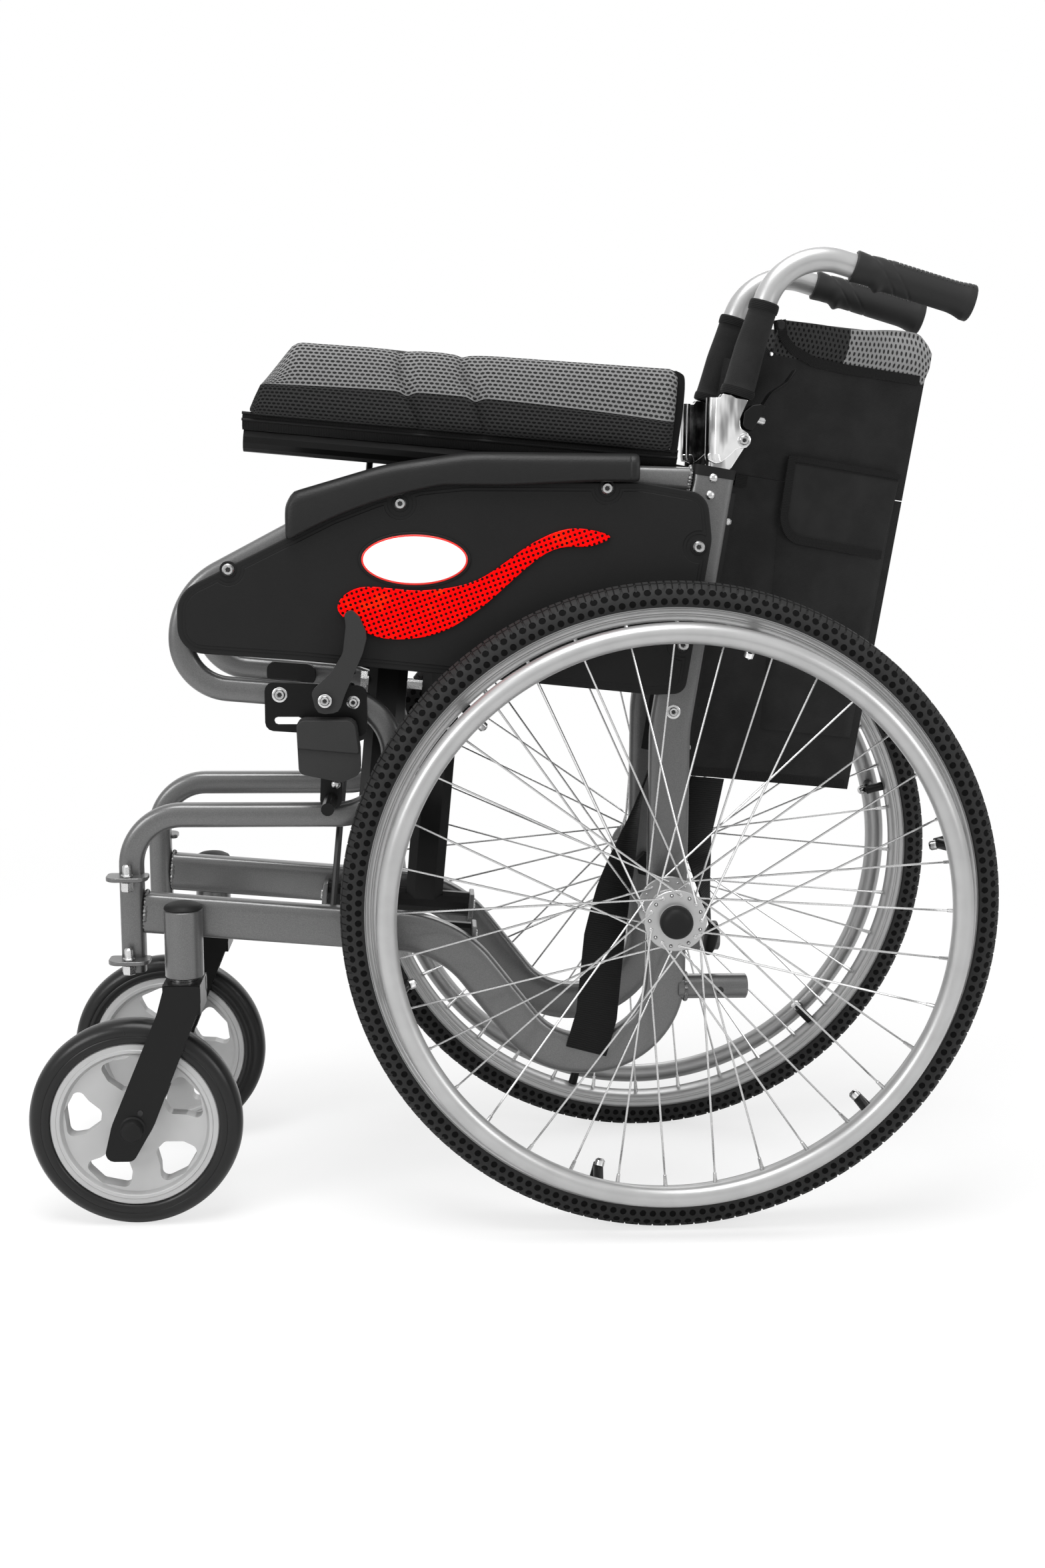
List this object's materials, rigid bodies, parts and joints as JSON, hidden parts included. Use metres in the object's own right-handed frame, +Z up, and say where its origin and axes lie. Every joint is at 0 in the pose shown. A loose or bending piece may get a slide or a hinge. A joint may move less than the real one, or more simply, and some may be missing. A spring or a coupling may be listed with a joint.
{
  "type": "folding wheelchair",
  "caption": "Folding self-propelled wheelchair with a half-folding back, padded armrests and push canes, shown folded flat.",
  "frame": {"origin": "centre of the folded chair's bounding box on the floor", "axes": "+X towards the rear of the chair, +Y towards its right side, +Z up"},
  "size_m": [0.905, 0.3676, 0.9045],
  "materials": {
    "frame_paint": "satin grey metallic",
    "bright_alloy": "satin",
    "chrome": "polished",
    "black_metal": "black satin",
    "steel_bolt": "zinc",
    "tyre_rubber": "matte black",
    "black_plastic": "matte black",
    "grey_plastic": "matte grey",
    "red_reflector": "prismatic",
    "soft_grip": "matte",
    "cloth": "black woven nylon",
    "mesh_cushion": "grey spacer mesh"
  },
  "bodies": {
    "frame_left": {"left_frame_front": "frame_paint", "left_frame_rear": "frame_paint", "left_side_panel": "black_plastic", "left_armrest_pad": "black_plastic", "left_reflector": "red_reflector", "left_seat_guide": "black_plastic", "left_brake_bracket": "black_metal", "left_brake_cover": "black_plastic", "left_rear_axle": "black_metal", "strap_front": "cloth"},
    "frame_right": {"right_frame_front": "frame_paint", "right_frame_rear": "frame_paint", "right_side_panel": "black_plastic", "right_armrest_pad": "black_plastic", "right_reflector": "red_reflector", "right_seat_guide": "black_plastic", "right_brake_bracket": "black_metal", "right_brake_cover": "black_plastic", "right_rear_axle": "black_metal"},
    "cross_a": {"right_cross_link": "black_metal", "cross_pivot_bolt": "steel_bolt"},
    "cross_b": {"left_cross_link": "black_metal"},
    "left_seat_out": {"left_seat_outer": "mesh_cushion"},
    "left_seat_in": {"left_seat_inner": "mesh_cushion"},
    "left_back": {"left_back_lower": "cloth", "left_back_upper": "cloth", "left_back_edge": "cloth", "back_pocket": "cloth", "strap_rear": "cloth"},
    "left_drive_wheel": {"left_rear_tyre": "tyre_rubber", "left_wheel": "bright_alloy", "left_handrim": "bright_alloy", "left_hub_cap": "black_plastic"},
    "left_caster_swivel": {"left_caster_fork": "black_metal"},
    "left_caster_roller": {"left_caster_wheel": "grey_plastic", "left_caster_tyre": "tyre_rubber"},
    "left_cane": {"left_back_hinge": "chrome", "left_upper_cane": "bright_alloy", "left_push_grip": "soft_grip"},
    "left_release": {"left_release_lever": "chrome"},
    "left_brake": {"left_brake_lever": "black_plastic"},
    "left_shoe": {"left_brake_shoe": "black_metal"},
    "right_seat_out": {"right_seat_outer": "mesh_cushion"},
    "right_seat_in": {"right_seat_inner": "mesh_cushion"},
    "right_back": {"right_back_lower": "cloth", "right_back_upper": "cloth", "right_back_edge": "cloth"},
    "right_drive_wheel": {"right_rear_tyre": "tyre_rubber", "right_wheel": "bright_alloy", "right_handrim": "bright_alloy", "right_hub_cap": "black_plastic"},
    "right_caster_swivel": {"right_caster_fork": "black_metal"},
    "right_caster_roller": {"right_caster_wheel": "grey_plastic", "right_caster_tyre": "tyre_rubber"},
    "right_cane": {"right_back_hinge": "chrome", "right_upper_cane": "bright_alloy", "right_push_grip": "soft_grip"},
    "right_release": {"right_release_lever": "chrome"},
    "right_brake": {"right_brake_lever": "black_plastic"},
    "right_shoe": {"right_brake_shoe": "black_metal"}
  },
  "joints": [
    {"name": "cross_fold", "type": "hinge", "parent": "frame_left", "child": "cross_a", "pos_m": [-0.13491, -0.0628, 0.27363], "axis": [-0.9966, 0, 0.0819], "range_deg": [0, 43.98]},
    {"name": "cross_scissor", "type": "hinge", "parent": "cross_a", "child": "cross_b", "pos_m": [-0.09014, 0, 0.50086], "axis": [0.9966, 0, -0.0819], "range_deg": [0, 87.96]},
    {"name": "frame_spread", "type": "hinge", "parent": "cross_b", "child": "frame_right", "pos_m": [-0.08309, 0.0628, 0.26937], "axis": [-0.9966, 0, 0.0819], "range_deg": [0, 43.98]},
    {"name": "left_seat_turn", "type": "hinge", "parent": "cross_b", "child": "left_seat_out", "pos_m": [-0.07213, -0.06, 0.71999], "axis": [-0.9966, 0, 0.0819], "range_deg": [0, 134]},
    {"name": "left_seat_unfold", "type": "hinge", "parent": "left_seat_out", "child": "left_seat_in", "pos_m": [-0.06475, -0.06, 0.80968], "axis": [0.9966, 0, -0.0819], "range_deg": [0, 168.02]},
    {"name": "left_back_unfold", "type": "hinge", "parent": "frame_left", "child": "left_back", "pos_m": [0.1485, -0.0743, 0.47], "axis": [0.1501, 0, 0.9887], "range_deg": [0, 68.92], "deforming": ["left_back_edge"]},
    {"name": "left_wheel_spin", "type": "hinge", "parent": "frame_left", "child": "left_drive_wheel", "pos_m": [0.1475, -0.1358, 0.305], "axis": [0, 1, 0], "continuous": true},
    {"name": "left_caster_turn", "type": "hinge", "parent": "frame_left", "child": "left_caster_swivel", "pos_m": [-0.3047, -0.1108, 0.2376], "axis": [0, 0, 1], "continuous": true},
    {"name": "left_caster_roll", "type": "hinge", "parent": "left_caster_swivel", "child": "left_caster_roller", "pos_m": [-0.3525, -0.1108, 0.1], "axis": [0, 1, 0], "continuous": true},
    {"name": "left_cane_fold", "type": "hinge", "parent": "frame_left", "child": "left_cane", "pos_m": [0.2107, -0.0878, 0.7338], "axis": [0, 1, 0], "range_deg": [0, 90], "deforming": ["left_back_upper"]},
    {"name": "left_cane_release", "type": "hinge", "parent": "left_cane", "child": "left_release", "pos_m": [0.2285, -0.0878, 0.7511], "axis": [0, 1, 0], "range_deg": [0, 16], "stiffness_Nm_per_rad": 0.05, "springref_deg": -28.65},
    {"name": "left_brake_set", "type": "hinge", "parent": "frame_left", "child": "left_brake", "pos_m": [-0.169, -0.1179, 0.501], "axis": [0, -1, 0], "range_deg": [0, 72]},
    {"name": "left_shoe_press", "type": "hinge", "parent": "frame_left", "child": "left_shoe", "pos_m": [-0.1625, -0.1025, 0.47], "axis": [0, -1, 0], "range_deg": [0, 18.01]},
    {"name": "right_seat_turn", "type": "hinge", "parent": "cross_a", "child": "right_seat_out", "pos_m": [-0.07213, 0.06, 0.71999], "axis": [0.9966, 0, -0.0819], "range_deg": [0, 134]},
    {"name": "right_seat_unfold", "type": "hinge", "parent": "right_seat_out", "child": "right_seat_in", "pos_m": [-0.06475, 0.06, 0.80968], "axis": [-0.9966, 0, 0.0819], "range_deg": [0, 168.02]},
    {"name": "right_back_unfold", "type": "hinge", "parent": "frame_right", "child": "right_back", "pos_m": [0.1485, 0.0743, 0.47], "axis": [-0.1501, 0, -0.9887], "range_deg": [0, 68.92], "deforming": ["right_back_edge"]},
    {"name": "right_wheel_spin", "type": "hinge", "parent": "frame_right", "child": "right_drive_wheel", "pos_m": [0.1475, 0.1358, 0.305], "axis": [0, 1, 0], "continuous": true},
    {"name": "right_caster_turn", "type": "hinge", "parent": "frame_right", "child": "right_caster_swivel", "pos_m": [-0.3047, 0.1108, 0.2376], "axis": [0, 0, 1], "continuous": true},
    {"name": "right_caster_roll", "type": "hinge", "parent": "right_caster_swivel", "child": "right_caster_roller", "pos_m": [-0.3525, 0.1108, 0.1], "axis": [0, 1, 0], "continuous": true},
    {"name": "right_cane_fold", "type": "hinge", "parent": "frame_right", "child": "right_cane", "pos_m": [0.2107, 0.0878, 0.7338], "axis": [0, 1, 0], "range_deg": [0, 90], "deforming": ["right_back_upper"]},
    {"name": "right_cane_release", "type": "hinge", "parent": "right_cane", "child": "right_release", "pos_m": [0.2285, 0.0878, 0.7511], "axis": [0, 1, 0], "range_deg": [0, 16], "stiffness_Nm_per_rad": 0.05, "springref_deg": -28.65},
    {"name": "right_brake_set", "type": "hinge", "parent": "frame_right", "child": "right_brake", "pos_m": [-0.169, 0.1179, 0.501], "axis": [0, -1, 0], "range_deg": [0, 72]},
    {"name": "right_shoe_press", "type": "hinge", "parent": "frame_right", "child": "right_shoe", "pos_m": [-0.1625, 0.1025, 0.47], "axis": [0, -1, 0], "range_deg": [0, 18.01]}
  ],
  "couplings": [
    {"joint": "cross_scissor", "follows": "cross_fold", "ratio": 2},
    {"joint": "frame_spread", "follows": "cross_fold", "ratio": 1},
    {"joint": "left_seat_turn", "follows": "cross_fold", "ratio": 3.0464},
    {"joint": "left_seat_unfold", "follows": "cross_fold", "ratio": 3.8199},
    {"joint": "left_back_unfold", "follows": "cross_fold", "ratio": 1.5666},
    {"joint": "left_shoe_press", "follows": "left_brake_set", "ratio": 0.25},
    {"joint": "right_seat_turn", "follows": "cross_fold", "ratio": 3.0464},
    {"joint": "right_seat_unfold", "follows": "cross_fold", "ratio": 3.8199},
    {"joint": "right_back_unfold", "follows": "cross_fold", "ratio": 1.5666},
    {"joint": "right_shoe_press", "follows": "right_brake_set", "ratio": 0.25}
  ]
}
